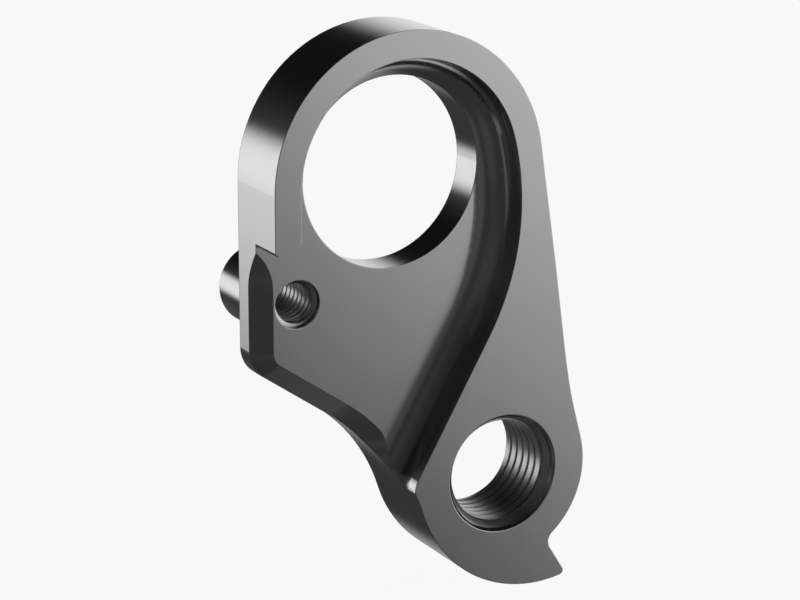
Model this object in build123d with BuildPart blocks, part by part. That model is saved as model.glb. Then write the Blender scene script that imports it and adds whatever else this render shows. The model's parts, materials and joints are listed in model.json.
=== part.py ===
from build123d import *
from math import atan2, cos, degrees, radians, sin, tan
import os

# Bicycle derailleur hanger, machined from one aluminium block, in millimetres.
# The origin is on the wheel-axle line, in the face that seats against the frame.
# X points from the axle towards the lobe, Z is up, and the outer side faces -Y.
# Plans are drawn on XZ planes, and each height is measured from the seat towards -Y.

# Ring round the wheel axle
axle_bore_r = 8.1
ring_r = 12.35
plate_t = 6.9

# Lobe for the derailleur's mounting bolt, M10 x 1, and the pad behind it
thread_x = 8.93
thread_z = -26.54
thread_r = 5.0
thread_lead_in = 0.225
thread_run_out = 0.7
lobe_r = 8.05
lobe_pad_t = 1.3
shoulder_r = 21.8

# Heel under the lobe, which ends in the stop for the derailleur's adjusting screw
heel_x = 12.45
heel_z = -25.3
heel_r = 11.83
stop_bearing = 284.5
stop_lean = 122
stop_tip_r = 0.4
stop_notch_r = 1.0

# Rear flank, a straight neck above the lobe and then a free curve up to the ring
neck_lean = 15
neck_run = 2.9
waist_x = 15.0
waist_z = -16.8
hip_x = 14.0
hip_z = -9.8
flank_lean = 8.2

# Front edge and foot of the thin plate, and the hollow between foot and heel
foot_z = -15.58
foot_slope = 34.6
foot_r = 2.8
hollow_r = 16.0

# Coved recess in the outer side, with its wall round the ring and down the web
floor_t = 3.25
recess_r = 10.0
cove_r = 2.5
web_wall_r = 22.2
web_wall_top = 14.6
web_wall_end = 30
wall_corner_r = 2.0

# Raised lip down the front edge, and the round cutter mark where the cove stops on it
lip_end_z = -4.2
lip_end_slope = 19
lip_inner_r = 0.7
lip_outer_r = 0.3
cove_end_r = 2.0

# Chamfer on the thin plate's edge, cut by two round noses
plate_chamfer = 1.5
upper_nose_r = 4.38
upper_nose_z = -8.69
lower_nose_r = 2.78
lower_nose_bearing = 42.7

# Locating pin on the seat side, and the hole for the M4 fixing screw through it
screw_x = -8.66
screw_z = -10.16
screw_r = 2.0
screw_lead_in = 0.05
pin_r = 3.45
pin_l = 4.65
pin_edge = 0.2

# How far a cutting tool runs past the faces that it opens, and turns away from them
over = 1.0
way_out_turn = 10


def heading(angle):
    """Unit vector at an angle from the X axis of a plan."""
    return Vector(cos(radians(angle)), sin(radians(angle)))


def bearing(centre, point):
    """Angle of a point of the plan seen from a centre, from 0 to 360."""
    return degrees(atan2(point.Y - centre.Y, point.X - centre.X)) % 360


def nearest(shapes, point):
    """The vertex or edge that lies closest to a point."""
    return shapes.sort_by_distance(point)[0]


def rounds(edges, radius):
    """The circular edges of one radius."""
    circles = edges.filter_by(GeomType.CIRCLE)
    return circles.filter_by(lambda edge: abs(edge.radius - radius) < 1e-6)


axle = Vector(0, 0)
thread = Vector(thread_x, thread_z)
heel = Vector(heel_x, heel_z)
screw = Vector(screw_x, screw_z)
foot = Vector(-ring_r, foot_z)
cove_end = Vector(-recess_r, -cove_end_r)
recess_depth = plate_t - floor_t

# Outline, from the rear of the ring over its top and round by the foot and the heel
with BuildSketch(Plane.XZ) as outline:
    with BuildLine():
        crown = CenterArc(axle, ring_r, flank_lean, 180 - flank_lean)
        Line(crown @ 1, foot)
        heel_circle = CenterArc(heel, heel_r, 0, 360, mode=Mode.PRIVATE)
        sole = IntersectingLine(foot, heading(-foot_slope), heel_circle)
        heel_start = bearing(heel, sole @ 1)
        heel_arc = CenterArc(heel, heel_r, heel_start, stop_bearing - heel_start)
        lobe_circle = CenterArc(thread, lobe_r, 0, 360, mode=Mode.PRIVATE)
        stop = IntersectingLine(heel_arc @ 1, heading(stop_lean), lobe_circle)
        lobe_start = bearing(thread, stop @ 1) - 360
        lobe_arc = CenterArc(thread, lobe_r, lobe_start, neck_lean - lobe_start)
        neck = PolarLine(lobe_arc @ 1, neck_run, 90 + neck_lean)
        Spline(
            neck @ 1,
            (waist_x, waist_z),
            (hip_x, hip_z),
            crown @ 0,
            tangents=(neck % 1, crown % 0),
        )
    make_face()
    fillet(nearest(outline.vertices(), foot), foot_r)
    fillet(nearest(outline.vertices(), sole @ 1), hollow_r)
    fillet(nearest(outline.vertices(), heel_arc @ 1), stop_tip_r)
    fillet(nearest(outline.vertices(), stop @ 1), stop_notch_r)

hollow_arc = rounds(outline.sketch_local.edges(), hollow_r)[0]
hollow = hollow_arc.arc_center

# Plan of the coved part of the recess, with its wall round the ring and down the web
with BuildSketch(Plane.XZ.offset(floor_t)) as cove_plan:
    with BuildLine():
        ring_wall = CenterArc(axle, recess_r, web_wall_top, 180 - web_wall_top)
        web_wall = CenterArc(
            axle - heading(web_wall_top) * (web_wall_r - recess_r),
            web_wall_r,
            -web_wall_end,
            web_wall_end + web_wall_top,
        )
        wall = IntersectingLine(web_wall @ 0, -(web_wall % 0), hollow_arc)
        wall_foot = wall @ 1
        way_out = bearing(hollow, wall_foot) - 90 - way_out_turn
        exit_line = PolarLine(wall_foot, 2 * cove_r, way_out)
        low_front = exit_line @ 1 - Vector(4 * cove_r, 0)
        Polyline(exit_line @ 1, low_front, (0, cove_end.Y), cove_end, ring_wall @ 1)
    make_face()
    fillet(nearest(cove_plan.vertices(), wall_foot), wall_corner_r)

# Ball-edged tool that cuts the coved part
with BuildPart() as cove_tool:
    extrude(cove_plan.sketch, amount=recess_depth + over)
    tip_edges = cove_tool.faces().sort_by(Axis.Y)[-1].edges()
    wall_middle = Plane.XZ.offset(floor_t).from_local_coords(wall @ 0.5)
    fillet(nearest(tip_edges, wall_middle), cove_r)

# Plan of the flat part of the recess, which ends the lip and runs out at the front
lip_end = Vector(-recess_r, lip_end_z)
lip_run = (ring_r - recess_r) * tan(radians(lip_end_slope))
lip_way_out = lip_end + heading(180 + lip_end_slope) * 2 * (ring_r - recess_r)
flat_rear = wall_foot - Vector(1.5 * cove_r, 0)
with BuildSketch(Plane.XZ.offset(floor_t)) as flat_plan:
    with BuildLine():
        Polyline(
            (-recess_r, 0),
            lip_end,
            lip_way_out,
            (lip_way_out.X, low_front.Y),
            (flat_rear.X, low_front.Y),
            flat_rear,
            axle,
            close=True,
        )
    make_face()
    fillet(nearest(flat_plan.vertices(), lip_end), lip_inner_r)
    fillet(nearest(flat_plan.vertices(), Vector(-recess_r, 0)), cove_end_r)

# Tool for the chamfer: its plan is what lies outside the inset outline
upper_nose = Vector(-ring_r + plate_chamfer - upper_nose_r, upper_nose_z)
lower_nose_way = heading(lower_nose_bearing)
lower_nose = hollow + lower_nose_way * (hollow_r + plate_chamfer - lower_nose_r)
low_z = lower_nose.Y - 2 * lower_nose_r
with BuildSketch() as inset:
    add(outline.sketch_local)
    offset(amount=-plate_chamfer, kind=Kind.ARC)
with BuildPart() as chamfer_tool:
    with BuildSketch(Plane.XZ.offset(floor_t - plate_chamfer)):
        with BuildLine():
            Polyline(
                upper_nose,
                (screw_x, upper_nose_z),
                lower_nose + lower_nose_way * 2 * lower_nose_r,
                lower_nose,
                (lower_nose.X, low_z),
                (upper_nose.X, low_z),
                close=True,
            )
        make_face()
        with Locations(upper_nose):
            Circle(upper_nose_r)
        with Locations(lower_nose):
            Circle(lower_nose_r)
        add(inset.sketch_local, mode=Mode.SUBTRACT)
    extrude(amount=plate_chamfer + over)
    tip_edges = chamfer_tool.faces().sort_by(Axis.Y)[-1].edges()
    front_run = Vector(-ring_r + plate_chamfer, 0, (upper_nose_z + foot_z) / 2)
    chamfer(nearest(tip_edges, front_run), plate_chamfer)

with BuildPart() as hanger:
    # Body at full thickness
    extrude(outline.sketch, amount=plate_t)

    # Recess, and the lip's outer corner
    add(cove_tool.part, mode=Mode.SUBTRACT)
    extrude(flat_plan.sketch, amount=recess_depth + over, mode=Mode.SUBTRACT)
    lip_corner = Vector(-ring_r, -plate_t, lip_end_z - lip_run)
    fillet(nearest(hanger.edges().filter_by(Axis.Y), lip_corner), lip_outer_r)

    # Chamfer on the thin plate's edge, whose lower nose runs out up the cove
    add(chamfer_tool.part, mode=Mode.SUBTRACT)
    with BuildSketch(Plane.XZ.offset(floor_t)):
        with Locations(lower_nose):
            Circle(lower_nose_r)
    extrude(amount=over, taper=-45, mode=Mode.SUBTRACT)

    # Pad behind the lobe, with the shoulder that fits round the frame's dropout
    with BuildSketch(Plane.XZ):
        add(outline.sketch_local)
        Circle(shoulder_r, mode=Mode.SUBTRACT)
    extrude(amount=-lobe_pad_t)

    # Locating pin
    with BuildSketch(Plane.XZ):
        with Locations(screw):
            Circle(pin_r)
    extrude(amount=-pin_l)
    chamfer(hanger.faces().sort_by(Axis.Y)[-1].edges(), pin_edge)

    # Axle bore, and the derailleur bolt's hole with its lead-in and run-out
    with BuildSketch(Plane.XZ.offset(plate_t)):
        Circle(axle_bore_r)
        with Locations(thread):
            Circle(thread_r)
    extrude(amount=-plate_t - lobe_pad_t, mode=Mode.SUBTRACT)
    thread_rims = rounds(hanger.edges(), thread_r).sort_by(Axis.Y)
    chamfer(thread_rims[0], thread_lead_in)
    chamfer(thread_rims[-1], thread_run_out)

    # Fixing screw's hole, with its lead-in
    with BuildSketch(Plane.XZ.offset(floor_t)):
        with Locations(screw):
            Circle(screw_r)
    extrude(amount=-floor_t - pin_l, mode=Mode.SUBTRACT)
    screw_mouth = Plane.XZ.offset(floor_t).from_local_coords(screw)
    chamfer(nearest(rounds(hanger.edges(), screw_r), screw_mouth), screw_lead_in)

hanger.part.label = "hanger"
os.makedirs("parts", exist_ok=True)
export_step(hanger.part, "parts/hanger.step")
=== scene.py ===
import json
from math import cos, radians

import bpy
import bmesh
from mathutils import Matrix, Quaternion, Vector


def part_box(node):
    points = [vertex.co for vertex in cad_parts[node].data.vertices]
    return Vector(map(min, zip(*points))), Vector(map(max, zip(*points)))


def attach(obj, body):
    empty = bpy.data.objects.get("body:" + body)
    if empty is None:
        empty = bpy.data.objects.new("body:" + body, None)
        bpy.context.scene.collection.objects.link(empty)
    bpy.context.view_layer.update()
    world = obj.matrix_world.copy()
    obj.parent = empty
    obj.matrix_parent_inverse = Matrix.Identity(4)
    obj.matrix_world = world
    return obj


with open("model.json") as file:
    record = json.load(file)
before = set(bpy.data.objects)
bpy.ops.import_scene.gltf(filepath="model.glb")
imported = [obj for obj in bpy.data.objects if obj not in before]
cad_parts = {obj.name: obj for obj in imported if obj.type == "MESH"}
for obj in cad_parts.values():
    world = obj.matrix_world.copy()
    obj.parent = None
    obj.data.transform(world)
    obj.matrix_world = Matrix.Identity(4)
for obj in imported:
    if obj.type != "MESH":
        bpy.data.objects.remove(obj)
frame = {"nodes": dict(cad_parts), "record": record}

bl_info = {
    "name": "Derailleur hanger",
    "version": (1, 0, 0),
    "blender": (4, 5, 0),
    "location": "3D View > Sidebar > Hanger",
    "description":
        "Finishes a derailleur hanger: its satin metal, its two threads and a plain studio",
    "category": "Object",
}

MM = 0.001
MOUNTS = {mount["name"]: mount for mount in frame["record"]["mounts"]}
BOLT_HOLE = MOUNTS["derailleur_thread"]
SCREW_HOLE = MOUNTS["fixing_thread"]
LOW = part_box("hanger")[0]

# Blasted surface: width of the slow clouds, and the grain's share beside them
CLOUD_SIZE = 5 * MM
GRAIN_SHARE = 0.6

# Cut threads: their grain height and edge break, as shares of the faces' own
THREAD_GRAIN_SHARE = 0.5
THREAD_EDGE_SHARE = 0.6

# Thread ridges: widths of the crest and the foot, in pitches
CREST_WIDTH = 0.68
FOOT_WIDTH = 0.92
# How deep the foot sits in the hole's wall
BURIED = 0.02 * MM
# Share of its thickness that a ridge keeps where it is pressed into the wall
THIN = 0.05
# Cuts in each side of the profile, and steps in a turn
PROFILE_CUTS = 3
BOLT_THREAD_STEPS = 96
SCREW_THREAD_STEPS = 64
# Edges sharper than this are shaded sharp
SHARP_EDGE = radians(14)

# Floor: its radius, and its gap under the hanger
FLOOR_RADIUS = 3.0
FLOOR_GAP = 0.02 * MM

# Heights in the room, as the Z of a direction, between which the fill gets weaker
ROOM_LOW = 0.15
ROOM_HIGH = 0.45


# Sizes and colours

class MetalSettings(bpy.types.PropertyGroup):
    """Satin aluminium, bead blasted before its threads were cut"""
    colour: bpy.props.FloatVectorProperty(
        name="Colour", description="Colour of the metal's reflection",
        default=(0.43, 0.43, 0.437), subtype="COLOR", min=0, max=1)
    roughness: bpy.props.FloatProperty(
        name="Roughness", description="Middle roughness of the satin surface",
        default=0.17, subtype="FACTOR", min=0, max=1)
    roughness_spread: bpy.props.FloatProperty(
        name="Roughness spread", description="How far the roughness wanders over the surface",
        default=0.03, subtype="FACTOR", min=0, max=1)
    tone_spread: bpy.props.FloatProperty(
        name="Tone spread", description="How far the colour wanders over the surface",
        default=0.05, subtype="FACTOR", min=0, max=1)
    grain_size: bpy.props.FloatProperty(
        name="Grain size", description="Width of one pit of the blasted surface",
        default=0.16 * MM, subtype="DISTANCE", unit="LENGTH", min=0.01 * MM, precision=6)
    grain_height: bpy.props.FloatProperty(
        name="Grain height", description="Depth of the pits of the blasted surface",
        default=0.0009 * MM, subtype="DISTANCE", unit="LENGTH", min=0, precision=7)
    thread_colour: bpy.props.FloatVectorProperty(
        name="Thread colour", description="Colour of the reflection of the freshly cut threads",
        default=(0.53, 0.53, 0.538), subtype="COLOR", min=0, max=1)
    thread_roughness: bpy.props.FloatProperty(
        name="Thread roughness", description="Middle roughness of the freshly cut threads",
        default=0.36, subtype="FACTOR", min=0, max=1)
    edge_break: bpy.props.FloatProperty(
        name="Edge break", description="Radius to which the blasting rounds each sharp edge",
        default=0.09 * MM, subtype="DISTANCE", unit="LENGTH", min=0, precision=6)


class BoltThreadSettings(bpy.types.PropertyGroup):
    """Thread of the derailleur's mounting bolt, M10 x 1, cut from the outer face"""
    mouth: bpy.props.FloatVectorProperty(
        name="Mouth", description="Centre of the hole in the outer face",
        default=(BOLT_HOLE["pos_m"][0], LOW.y, BOLT_HOLE["pos_m"][2]),
        subtype="TRANSLATION", unit="LENGTH", precision=5)
    radius: bpy.props.FloatProperty(
        name="Radius", description="Radius of the hole's wall, at the roots of the thread",
        default=BOLT_HOLE["dims"]["r_mm"] * MM, subtype="DISTANCE", unit="LENGTH", precision=5)
    length: bpy.props.FloatProperty(
        name="Length", description="Length of the hole from face to face",
        default=8.2 * MM, subtype="DISTANCE", unit="LENGTH", precision=5)
    pitch: bpy.props.FloatProperty(
        name="Pitch", description="Distance from turn to turn",
        default=1.0 * MM, subtype="DISTANCE", unit="LENGTH", precision=5)
    ridge: bpy.props.FloatProperty(
        name="Ridge height", description="Height of the thread above its roots",
        default=0.541 * MM, subtype="DISTANCE", unit="LENGTH", precision=6)
    lead_in: bpy.props.FloatProperty(
        name="Lead-in", description="Depth over which the countersink cuts back the first turn",
        default=0.42 * MM, subtype="DISTANCE", unit="LENGTH", precision=6)
    run_out: bpy.props.FloatProperty(
        name="Run-out", description="Depth over which the far countersink cuts back the last turn",
        default=0.7 * MM, subtype="DISTANCE", unit="LENGTH", precision=6)
    start: bpy.props.FloatProperty(
        name="Start", description="Angle at which the thread starts at the mouth",
        default=radians(151), subtype="ANGLE")


class ScrewThreadSettings(bpy.types.PropertyGroup):
    """Thread of the fixing screw, M4 x 0.7, through the plate and the locating pin"""
    mouth: bpy.props.FloatVectorProperty(
        name="Mouth",
        description="Centre of the hole where the thread begins, below its plain mouth",
        default=(SCREW_HOLE["pos_m"][0], -2.95 * MM, SCREW_HOLE["pos_m"][2]),
        subtype="TRANSLATION", unit="LENGTH", precision=5)
    radius: bpy.props.FloatProperty(
        name="Radius", description="Radius of the hole's wall, at the roots of the thread",
        default=SCREW_HOLE["dims"]["r_mm"] * MM, subtype="DISTANCE", unit="LENGTH", precision=5)
    length: bpy.props.FloatProperty(
        name="Length", description="Length of the hole from there to the pin's end",
        default=7.6 * MM, subtype="DISTANCE", unit="LENGTH", precision=5)
    pitch: bpy.props.FloatProperty(
        name="Pitch", description="Distance from turn to turn",
        default=0.7 * MM, subtype="DISTANCE", unit="LENGTH", precision=5)
    ridge: bpy.props.FloatProperty(
        name="Ridge height", description="Height of the thread above its roots",
        default=0.379 * MM, subtype="DISTANCE", unit="LENGTH", precision=6)
    lead_in: bpy.props.FloatProperty(
        name="Lead-in", description="Depth over which the near end cuts back the first turn",
        default=0.05 * MM, subtype="DISTANCE", unit="LENGTH", precision=6)
    run_out: bpy.props.FloatProperty(
        name="Run-out", description="Depth over which the far end cuts back the last turn",
        default=0.05 * MM, subtype="DISTANCE", unit="LENGTH", precision=6)
    start: bpy.props.FloatProperty(
        name="Start", description="Angle at which the thread starts at the mouth",
        default=radians(154), subtype="ANGLE")


class StageSettings(bpy.types.PropertyGroup):
    """Pale floor, soft boxes all round and the camera"""
    floor_colour: bpy.props.FloatVectorProperty(
        name="Floor colour", description="Colour of the floor",
        default=(0.9, 0.9, 0.9), subtype="COLOR", min=0, max=1)
    floor_white: bpy.props.FloatProperty(
        name="Floor white", description="How far the floor fades to white for the camera",
        default=0.93, subtype="FACTOR", min=0, max=1)
    fill: bpy.props.FloatProperty(
        name="Fill", description="Strength of the room's light between the soft boxes, low down",
        default=0.06, min=0)
    fill_high: bpy.props.FloatProperty(
        name="Fill high up",
        description="Strength of the room's light between the soft boxes, high up",
        default=0.01, min=0)
    camera_place: bpy.props.FloatVectorProperty(
        name="Camera place", description="Where the camera stands",
        default=(-98.69 * MM, -186.17 * MM, 47.64 * MM),
        subtype="TRANSLATION", unit="LENGTH", precision=5)
    camera_aim: bpy.props.FloatVectorProperty(
        name="Camera aim", description="The point in the middle of the picture",
        default=(-1.104 * MM, -6.9 * MM, -9.854 * MM),
        subtype="TRANSLATION", unit="LENGTH", precision=5)
    camera_roll: bpy.props.FloatProperty(
        name="Camera roll", description="How far the camera leans to its left",
        default=radians(0.15), subtype="ANGLE")
    lens: bpy.props.FloatProperty(
        name="Lens", description="Focal length in millimetres on a 36 mm wide sensor",
        default=116.73, subtype="DISTANCE_CAMERA")


class HangerSettings(bpy.types.PropertyGroup):
    """Everything that can be changed before the operators run"""
    metal: bpy.props.PointerProperty(type=MetalSettings)
    bolt_thread: bpy.props.PointerProperty(type=BoltThreadSettings)
    screw_thread: bpy.props.PointerProperty(type=ScrewThreadSettings)
    stage: bpy.props.PointerProperty(type=StageSettings)


# Node helpers

def add_node(tree, kind, **settings):
    """A new node with its settings."""
    node = tree.nodes.new(kind)
    for name, value in settings.items():
        setattr(node, name, value)
    return node


def feed(tree, socket, source):
    """Gives an input socket a value, or links it to an output socket."""
    if isinstance(source, bpy.types.NodeSocket):
        tree.links.new(source, socket)
    else:
        socket.default_value = source


def maths(tree, operation, first, second=0.0):
    """The result of one operation on two values or sockets."""
    node = add_node(tree, "ShaderNodeMath", operation=operation)
    feed(tree, node.inputs[0], first)
    feed(tree, node.inputs[1], second)
    return node.outputs[0]


def new_group(name, kind, inputs, outputs):
    """A node group with named sockets, and its input and output nodes."""
    group = bpy.data.node_groups.new(name, kind)
    for label, socket_type, value in inputs:
        socket = group.interface.new_socket(label, in_out="INPUT", socket_type=socket_type)
        if value is not None:
            socket.default_value = value
    for label, socket_type in outputs:
        group.interface.new_socket(label, in_out="OUTPUT", socket_type=socket_type)
    return group, group.nodes.new("NodeGroupInput"), group.nodes.new("NodeGroupOutput")


def use_group(tree, group, **values):
    """A group placed in a tree, with values or links for its named inputs."""
    node = add_node(tree, tree.bl_idname.replace("NodeTree", "NodeGroup"), node_tree=group)
    for name, value in values.items():
        feed(tree, node.inputs[name.replace("_", " ").capitalize()], value)
    return node


# Materials

def blasted_grain():
    """Group that gives the tone, roughness and height of a bead-blasted metal surface."""
    if "Blasted grain" in bpy.data.node_groups:
        return bpy.data.node_groups["Blasted grain"]
    group, given, result = new_group(
        "Blasted grain", "ShaderNodeTree",
        [("Colour", "NodeSocketColor", (0.5, 0.5, 0.5, 1)),
         ("Tone spread", "NodeSocketFloat", 0.05),
         ("Roughness", "NodeSocketFloat", 0.25),
         ("Roughness spread", "NodeSocketFloat", 0.05),
         ("Grain size", "NodeSocketFloat", 0.2 * MM),
         ("Grain height", "NodeSocketFloat", 0.001 * MM)],
        [("Colour", "NodeSocketColor"),
         ("Roughness", "NodeSocketFloat"),
         ("Height", "NodeSocketFloat")])
    place = add_node(group, "ShaderNodeTexCoord").outputs["Object"]

    pits = add_node(group, "ShaderNodeTexNoise", noise_dimensions="3D")
    feed(group, pits.inputs["Vector"], place)
    feed(group, pits.inputs["Scale"], maths(group, "DIVIDE", 1.0, given.outputs["Grain size"]))
    feed(group, pits.inputs["Detail"], 3.0)
    feed(group, pits.inputs["Roughness"], 0.6)
    clouds = add_node(group, "ShaderNodeTexNoise", noise_dimensions="3D")
    feed(group, clouds.inputs["Vector"], place)
    feed(group, clouds.inputs["Scale"], 1 / CLOUD_SIZE)
    feed(group, clouds.inputs["Detail"], 2.0)

    wander = maths(group, "SUBTRACT", clouds.outputs["Fac"], 0.5)
    speckle = maths(group, "SUBTRACT", pits.outputs["Fac"], 0.5)
    both = maths(group, "ADD", wander, maths(group, "MULTIPLY", speckle, GRAIN_SHARE))
    tone = maths(group, "MULTIPLY", both, given.outputs["Tone spread"])
    tone = maths(group, "ADD", 1.0, tone)
    shade = add_node(group, "ShaderNodeVectorMath", operation="SCALE")
    feed(group, shade.inputs[0], given.outputs["Colour"])
    feed(group, shade.inputs["Scale"], tone)
    feed(group, result.inputs["Colour"], shade.outputs[0])
    rough = maths(group, "MULTIPLY", both, given.outputs["Roughness spread"])
    rough = maths(group, "ADD", given.outputs["Roughness"], rough)
    feed(group, result.inputs["Roughness"], rough)
    height = maths(group, "MULTIPLY", pits.outputs["Fac"], given.outputs["Grain height"])
    feed(group, result.inputs["Height"], height)
    return group


def satin_metal(name, metal, colour, roughness, grain_height, edge_break):
    """Aluminium with the blasted grain and softly broken edges."""
    material = bpy.data.materials.new(name)
    material.use_nodes = True
    tree = material.node_tree
    shader = tree.nodes["Principled BSDF"]
    shader.inputs["Metallic"].default_value = 1.0
    grain = use_group(
        tree, blasted_grain(), colour=(*colour, 1), tone_spread=metal.tone_spread,
        roughness=roughness, roughness_spread=metal.roughness_spread,
        grain_size=metal.grain_size, grain_height=grain_height)
    edges = add_node(tree, "ShaderNodeBevel", samples=8)
    edges.inputs["Radius"].default_value = edge_break
    bump = add_node(tree, "ShaderNodeBump")
    feed(tree, bump.inputs["Normal"], edges.outputs["Normal"])
    bump.inputs["Distance"].default_value = 1.0
    feed(tree, bump.inputs["Height"], grain.outputs["Height"])
    feed(tree, shader.inputs["Base Color"], grain.outputs["Colour"])
    feed(tree, shader.inputs["Roughness"], grain.outputs["Roughness"])
    feed(tree, shader.inputs["Normal"], bump.outputs["Normal"])
    return material


# Threads

def thread_tree():
    """Geometry Nodes tree that winds one right-handed ridge down a hole from its mouth."""
    if "Thread ridge" in bpy.data.node_groups:
        return bpy.data.node_groups["Thread ridge"]
    number = "NodeSocketFloat"
    tree, given, result = new_group(
        "Thread ridge", "GeometryNodeTree",
        [("Radius", number, 5 * MM),
         ("Length", number, 8 * MM),
         ("Pitch", number, 1 * MM),
         ("Ridge", number, 0.5 * MM),
         ("Lead in", number, 0.2 * MM),
         ("Run out", number, 0.2 * MM),
         ("Start", number, 0.0),
         ("Steps", "NodeSocketInt", BOLT_THREAD_STEPS),
         ("Mouth", "NodeSocketVector", (0, 0, 0)),
         ("Material", "NodeSocketMaterial", None)],
        [("Geometry", "NodeSocketGeometry")])
    radius, length = given.outputs["Radius"], given.outputs["Length"]
    pitch, ridge = given.outputs["Pitch"], given.outputs["Ridge"]

    # Path down the hole, along Z, with the profile kept upright on it
    path = add_node(tree, "GeometryNodeCurveSpiral")
    feed(tree, path.inputs["Resolution"], given.outputs["Steps"])
    feed(tree, path.inputs["Rotations"], maths(tree, "DIVIDE", length, pitch))
    feed(tree, path.inputs["Start Radius"], radius)
    feed(tree, path.inputs["End Radius"], radius)
    feed(tree, path.inputs["Height"], length)
    feed(tree, path.inputs["Reverse"], True)
    upright = add_node(tree, "GeometryNodeSetCurveNormal", mode="Z_UP")
    feed(tree, upright.inputs["Curve"], path.outputs["Curve"])

    # Profile: a ridge with a wide flat crest, as the drilled bore leaves it
    tall = maths(tree, "ADD", ridge, BURIED)
    crest = maths(tree, "MULTIPLY", pitch, CREST_WIDTH)
    foot = maths(tree, "MULTIPLY", pitch, FOOT_WIDTH)
    profile = add_node(tree, "GeometryNodeCurvePrimitiveQuadrilateral", mode="TRAPEZOID")
    feed(tree, profile.inputs["Bottom Width"], foot)
    feed(tree, profile.inputs["Top Width"], crest)
    feed(tree, profile.inputs["Offset"], 0.0)
    feed(tree, profile.inputs["Height"], tall)
    fine = add_node(tree, "GeometryNodeSubdivideCurve")
    feed(tree, fine.inputs["Curve"], profile.outputs["Curve"])
    feed(tree, fine.inputs["Cuts"], PROFILE_CUTS)
    inwards = maths(tree, "MULTIPLY", maths(tree, "SUBTRACT", BURIED, ridge), 0.5)
    shift = add_node(tree, "ShaderNodeCombineXYZ")
    feed(tree, shift.inputs["X"], inwards)
    turned = add_node(tree, "GeometryNodeTransform")
    feed(tree, turned.inputs["Geometry"], fine.outputs["Curve"])
    feed(tree, turned.inputs["Translation"], shift.outputs["Vector"])
    feed(tree, turned.inputs["Rotation"], (0, 0, radians(90)))
    sweep = add_node(tree, "GeometryNodeCurveToMesh")
    feed(tree, sweep.inputs["Curve"], upright.outputs["Curve"])
    feed(tree, sweep.inputs["Profile Curve"], turned.outputs["Geometry"])
    feed(tree, sweep.inputs["Fill Caps"], True)

    # Where each point is: its distance from the hole's axis, and from both of its ends
    spot = add_node(tree, "GeometryNodeInputPosition").outputs["Position"]
    place = add_node(tree, "ShaderNodeSeparateXYZ")
    feed(tree, place.inputs["Vector"], spot)
    x, y, depth = place.outputs
    squares = maths(tree, "ADD", maths(tree, "MULTIPLY", x, x), maths(tree, "MULTIPLY", y, y))
    out = maths(tree, "SQRT", squares)
    from_end = maths(tree, "SUBTRACT", length, depth)

    # Both ends of the ridge stay inside the hole
    near_limit = maths(tree, "ADD", 3 * BURIED, maths(tree, "MULTIPLY", depth, THIN))
    far_limit = maths(tree, "ADD", 3 * BURIED, maths(tree, "MULTIPLY", from_end, THIN))
    deep = maths(tree, "MAXIMUM", depth, near_limit)
    deep = maths(tree, "MINIMUM", deep, maths(tree, "SUBTRACT", length, far_limit))

    # The cones of the lead-in and the run-out press the ridge back into the wall
    over_crest = maths(tree, "SUBTRACT", out, maths(tree, "SUBTRACT", radius, ridge))
    skin = maths(tree, "ADD", BURIED, maths(tree, "MULTIPLY", over_crest, THIN))
    wall = maths(tree, "ADD", radius, skin)
    cone_in = maths(tree, "ADD", wall, maths(tree, "SUBTRACT", given.outputs["Lead in"], deep))
    left = maths(tree, "SUBTRACT", length, deep)
    cone_out = maths(tree, "ADD", wall, maths(tree, "SUBTRACT", given.outputs["Run out"], left))
    cut = maths(tree, "MAXIMUM", out, maths(tree, "MAXIMUM", cone_in, cone_out))
    grow = maths(tree, "DIVIDE", cut, out)
    moved = add_node(tree, "ShaderNodeCombineXYZ")
    feed(tree, moved.inputs["X"], maths(tree, "MULTIPLY", x, grow))
    feed(tree, moved.inputs["Y"], maths(tree, "MULTIPLY", y, grow))
    feed(tree, moved.inputs["Z"], deep)
    fitted = add_node(tree, "GeometryNodeSetPosition")
    feed(tree, fitted.inputs["Geometry"], sweep.outputs["Mesh"])
    feed(tree, fitted.inputs["Position"], moved.outputs["Vector"])

    # Start angle about the hole's axis, and then into its place with the mouth on the -Y side
    angle = add_node(tree, "ShaderNodeCombineXYZ")
    feed(tree, angle.inputs["Z"], given.outputs["Start"])
    spun = add_node(tree, "GeometryNodeTransform")
    feed(tree, spun.inputs["Geometry"], fitted.outputs["Geometry"])
    feed(tree, spun.inputs["Rotation"], angle.outputs["Vector"])
    placed = add_node(tree, "GeometryNodeTransform")
    feed(tree, placed.inputs["Geometry"], spun.outputs["Geometry"])
    feed(tree, placed.inputs["Translation"], given.outputs["Mouth"])
    feed(tree, placed.inputs["Rotation"], (radians(-90), 0, 0))
    real = add_node(tree, "GeometryNodeRealizeInstances")
    feed(tree, real.inputs["Geometry"], placed.outputs["Geometry"])
    dressed = add_node(tree, "GeometryNodeSetMaterial")
    feed(tree, dressed.inputs["Geometry"], real.outputs["Geometry"])
    feed(tree, dressed.inputs["Material"], given.outputs["Material"])
    feed(tree, result.inputs["Geometry"], dressed.outputs["Geometry"])
    return tree


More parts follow.
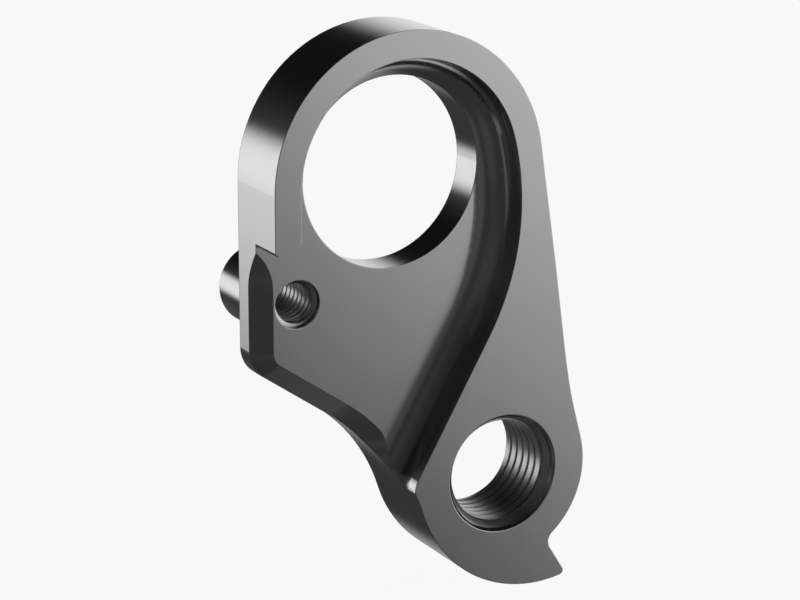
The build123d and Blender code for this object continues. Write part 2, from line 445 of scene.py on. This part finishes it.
def cut_thread(name, sizes, material, steps):
    """Winds a thread's ridge in its hole, as a plain mesh that rides with the hanger."""
    tree = thread_tree()
    maker = bpy.data.objects.new(name + "_maker", bpy.data.meshes.new(name + "_maker"))
    bpy.context.scene.collection.objects.link(maker)
    modifier = maker.modifiers.new("Thread ridge", "NODES")
    modifier.node_group = tree
    values = {
        "Radius": sizes.radius,
        "Length": sizes.length,
        "Pitch": sizes.pitch,
        "Ridge": sizes.ridge,
        "Lead in": sizes.lead_in,
        "Run out": sizes.run_out,
        "Start": sizes.start,
        "Steps": steps,
        "Mouth": tuple(sizes.mouth),
        "Material": material,
    }
    for socket in tree.interface.items_tree:
        if socket.in_out == "INPUT":
            modifier[socket.identifier] = values[socket.name]
    finished = maker.evaluated_get(bpy.context.evaluated_depsgraph_get())
    made = bpy.data.meshes.new_from_object(finished)
    if not made.polygons:
        raise RuntimeError(f"the thread {name} came out empty")
    bpy.data.objects.remove(maker)

    work = bmesh.new()
    work.from_mesh(made)
    if work.calc_volume(signed=True) < 0:
        bmesh.ops.reverse_faces(work, faces=work.faces)
    for face in work.faces:
        face.smooth = True
    work.to_mesh(made)
    work.free()
    made.set_sharp_from_angle(angle=SHARP_EDGE)
    made.name = name
    piece = bpy.data.objects.new(name, made)
    bpy.context.scene.collection.objects.link(piece)
    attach(piece, "root")
    return piece


# Stage

# Soft boxes: the direction from the object, the angles in degrees from it out to which
# the box is full and at which it is gone, and its strength. The strong ones give the
# photograph's reflections, and the weak ones light what is seen from other sides.
SOFT_BOXES = (
    ("Rear left", (-0.52, 0.85, -0.10), 6, 16.5, 1.62),
    ("Front right", (0.71, -0.70, 0.10), 12, 33.7, 1.3),
    ("Front low", (0.0, -0.96, -0.28), 4, 21, 0.07),
    ("Low left", (-0.62, -0.60, -0.50), 4, 22, 0.04),
    ("Low front right", (0.72, -0.50, -0.50), 5, 24, 0.4),
    ("Right", (1.0, -0.05, -0.12), 8, 32, 0.6),
    ("Rear low", (0.02, 0.98, -0.20), 4, 20, 0.3),
    ("Low right", (0.60, 0.30, -0.74), 24, 46, 0.72),
    ("Overhead", (0.0, 0.20, 0.98), 6, 20, 0.6),
    ("Left", (-0.72, -0.52, 0.41), 4, 40, 0.03),
)
# The part of the white backdrop that the metal shows, in the same terms
BACKDROP = ("Backdrop", (0.62, 0.78, 0.05), 3, 28, 1.0)


def soft_box():
    """Group that gives the strength of a round soft box in the direction that a ray looks."""
    group, given, result = new_group(
        "Soft box", "ShaderNodeTree",
        [("Direction", "NodeSocketVector", (0, 0, 1)), ("Full", "NodeSocketFloat", 1.0),
         ("Gone", "NodeSocketFloat", 0.9), ("Strength", "NodeSocketFloat", 1.0)],
        [("Light", "NodeSocketFloat")])
    look = add_node(group, "ShaderNodeTexCoord").outputs["Generated"]
    aim = add_node(group, "ShaderNodeVectorMath", operation="DOT_PRODUCT")
    feed(group, aim.inputs[0], look)
    feed(group, aim.inputs[1], given.outputs["Direction"])
    fade = add_node(group, "ShaderNodeMapRange", interpolation_type="SMOOTHSTEP")
    feed(group, fade.inputs["Value"], aim.outputs["Value"])
    feed(group, fade.inputs["From Min"], given.outputs["Gone"])
    feed(group, fade.inputs["From Max"], given.outputs["Full"])
    light = maths(group, "MULTIPLY", fade.outputs["Result"], given.outputs["Strength"])
    feed(group, result.inputs["Light"], light)
    return group


def light_studio(stage):
    """World of soft boxes and a little fill, with a white backdrop."""
    world = bpy.data.worlds.new("Studio")
    world.use_nodes = True
    tree = world.node_tree
    tree.nodes.clear()
    look = add_node(tree, "ShaderNodeTexCoord").outputs["Generated"]
    height = add_node(tree, "ShaderNodeSeparateXYZ")
    feed(tree, height.inputs["Vector"], look)
    room = add_node(tree, "ShaderNodeMapRange", interpolation_type="SMOOTHSTEP")
    feed(tree, room.inputs["Value"], height.outputs["Z"])
    feed(tree, room.inputs["From Min"], ROOM_LOW)
    feed(tree, room.inputs["From Max"], ROOM_HIGH)
    feed(tree, room.inputs["To Min"], stage.fill)
    feed(tree, room.inputs["To Max"], stage.fill_high)

    group = soft_box()
    lights = []
    for name, direction, full, gone, strength in (*SOFT_BOXES, BACKDROP):
        box = use_group(
            tree, group, direction=Vector(direction).normalized(), full=cos(radians(full)),
            gone=cos(radians(gone)), strength=strength)
        box.label = name
        lights.append(box.outputs["Light"])
    *boxes, backdrop = lights
    light = room.outputs["Result"]
    for box in boxes:
        light = maths(tree, "ADD", box, light)

    # Camera rays see white, and reflected ones see it where the backdrop stands
    lit = add_node(tree, "ShaderNodeBackground")
    feed(tree, lit.inputs["Strength"], light)
    feed(tree, lit.inputs["Color"], (1, 1, 1, 1))
    white = add_node(tree, "ShaderNodeBackground")
    feed(tree, white.inputs["Color"], (1, 1, 1, 1))
    feed(tree, white.inputs["Strength"], 1.0)
    choose = add_node(tree, "ShaderNodeMixShader")
    ray = add_node(tree, "ShaderNodeLightPath").outputs
    mirrored = maths(tree, "MAXIMUM", ray["Is Glossy Ray"], ray["Is Transmission Ray"])
    mirrored = maths(tree, "MULTIPLY", mirrored, backdrop)
    feed(tree, choose.inputs[0], maths(tree, "MAXIMUM", ray["Is Camera Ray"], mirrored))
    feed(tree, choose.inputs[1], lit.outputs[0])
    feed(tree, choose.inputs[2], white.outputs[0])
    output = add_node(tree, "ShaderNodeOutputWorld")
    feed(tree, output.inputs["Surface"], choose.outputs[0])
    bpy.context.scene.world = world


def floor_material(stage):
    """Pale floor that fades to white for the camera and keeps the object's shadow."""
    material = bpy.data.materials.new("Pale floor")
    material.use_nodes = True
    tree = material.node_tree
    tree.nodes.clear()
    matt = add_node(tree, "ShaderNodeBsdfDiffuse")
    feed(tree, matt.inputs["Color"], (*stage.floor_colour, 1))
    white = add_node(tree, "ShaderNodeEmission")
    feed(tree, white.inputs["Strength"], 1.0)
    seen = add_node(tree, "ShaderNodeLightPath").outputs["Is Camera Ray"]
    choose = add_node(tree, "ShaderNodeMixShader")
    feed(tree, choose.inputs[0], maths(tree, "MULTIPLY", seen, stage.floor_white))
    feed(tree, choose.inputs[1], matt.outputs[0])
    feed(tree, choose.inputs[2], white.outputs[0])
    output = add_node(tree, "ShaderNodeOutputMaterial")
    feed(tree, output.inputs["Surface"], choose.outputs[0])
    return material


def lay_floor(stage):
    """Floor just under the hanger's lowest point."""
    work = bmesh.new()
    bmesh.ops.create_circle(
        work, cap_ends=True, segments=64, radius=FLOOR_RADIUS,
        matrix=Matrix.Translation((0, 0, LOW.z - FLOOR_GAP)))
    mesh = bpy.data.meshes.new("floor")
    work.to_mesh(mesh)
    work.free()
    floor = bpy.data.objects.new("floor", mesh)
    mesh.materials.append(floor_material(stage))
    bpy.context.scene.collection.objects.link(floor)
    floor.visible_glossy = False
    floor.visible_shadow = False


def place_camera(stage):
    """Camera at the photograph's angle."""
    camera = bpy.data.objects.new("camera", bpy.data.cameras.new("camera"))
    bpy.context.scene.collection.objects.link(camera)
    camera.data.sensor_width = 36
    camera.data.lens = stage.lens
    camera.data.clip_start = 10 * MM
    camera.data.clip_end = 100
    camera.location = stage.camera_place
    way = Vector(stage.camera_aim) - Vector(stage.camera_place)
    roll = Quaternion((0, 0, 1), stage.camera_roll)
    camera.rotation_mode = "QUATERNION"
    camera.rotation_quaternion = way.to_track_quat("-Z", "Y") @ roll
    bpy.context.scene.camera = camera


# Operators

class HANGER_OT_finish_metal(bpy.types.Operator):
    """Give the hanger its satin metal"""
    bl_idname = "hanger.finish_metal"
    bl_label = "Finish the metal"

    def execute(self, context):
        metal = context.scene.hanger.metal
        material = satin_metal(
            "Satin aluminium", metal, metal.colour, metal.roughness,
            metal.grain_height, metal.edge_break)
        for slot in frame["nodes"]["hanger"].material_slots:
            slot.material = material
        return {"FINISHED"}


class HANGER_OT_cut_threads(bpy.types.Operator):
    """Cut the thread of the derailleur's mounting bolt and of the fixing screw"""
    bl_idname = "hanger.cut_threads"
    bl_label = "Cut both threads"

    def execute(self, context):
        hanger = context.scene.hanger
        metal = hanger.metal
        material = satin_metal(
            "Cut thread", metal, metal.thread_colour, metal.thread_roughness,
            metal.grain_height * THREAD_GRAIN_SHARE, metal.edge_break * THREAD_EDGE_SHARE)
        cut_thread("derailleur_thread_ridge", hanger.bolt_thread, material, BOLT_THREAD_STEPS)
        cut_thread("fixing_thread_ridge", hanger.screw_thread, material, SCREW_THREAD_STEPS)
        return {"FINISHED"}


class HANGER_OT_set_stage(bpy.types.Operator):
    """Lay the floor, set the soft boxes and place the camera"""
    bl_idname = "hanger.set_stage"
    bl_label = "Set the stage"

    def execute(self, context):
        stage = context.scene.hanger.stage
        light_studio(stage)
        lay_floor(stage)
        place_camera(stage)
        context.scene.view_settings.view_transform = "Standard"
        return {"FINISHED"}


class HANGER_PT_sidebar(bpy.types.Panel):
    """Hanger's settings and steps"""
    bl_label = "Derailleur hanger"
    bl_idname = "HANGER_PT_sidebar"
    bl_space_type = "VIEW_3D"
    bl_region_type = "UI"
    bl_category = "Hanger"

    def draw(self, context):
        hanger = context.scene.hanger
        for title, settings, steps in (
            ("Metal", hanger.metal, (HANGER_OT_finish_metal,)),
            ("Mounting bolt's thread", hanger.bolt_thread, ()),
            ("Fixing screw's thread", hanger.screw_thread, (HANGER_OT_cut_threads,)),
            ("Stage", hanger.stage, (HANGER_OT_set_stage,)),
        ):
            box = self.layout.box()
            box.label(text=title)
            for name in settings.bl_rna.properties.keys():
                if name not in ("rna_type", "name"):
                    box.prop(settings, name)
            for step in steps:
                box.operator(step.bl_idname)


CLASSES = (
    MetalSettings, BoltThreadSettings, ScrewThreadSettings, StageSettings, HangerSettings,
    HANGER_OT_finish_metal, HANGER_OT_cut_threads, HANGER_OT_set_stage, HANGER_PT_sidebar,
)


def register():
    """Adds the settings, the operators and the panel."""
    for cls in CLASSES:
        bpy.utils.register_class(cls)
    bpy.types.Scene.hanger = bpy.props.PointerProperty(type=HangerSettings)


def unregister():
    """Takes them away again."""
    del bpy.types.Scene.hanger
    for cls in reversed(CLASSES):
        bpy.utils.unregister_class(cls)


def main():
    """Makes everything: registers the add-on and runs its three steps."""
    register()
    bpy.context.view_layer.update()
    bpy.ops.hanger.finish_metal()
    bpy.ops.hanger.cut_threads()
    bpy.ops.hanger.set_stage()


if __name__ == "__main__":
    main()
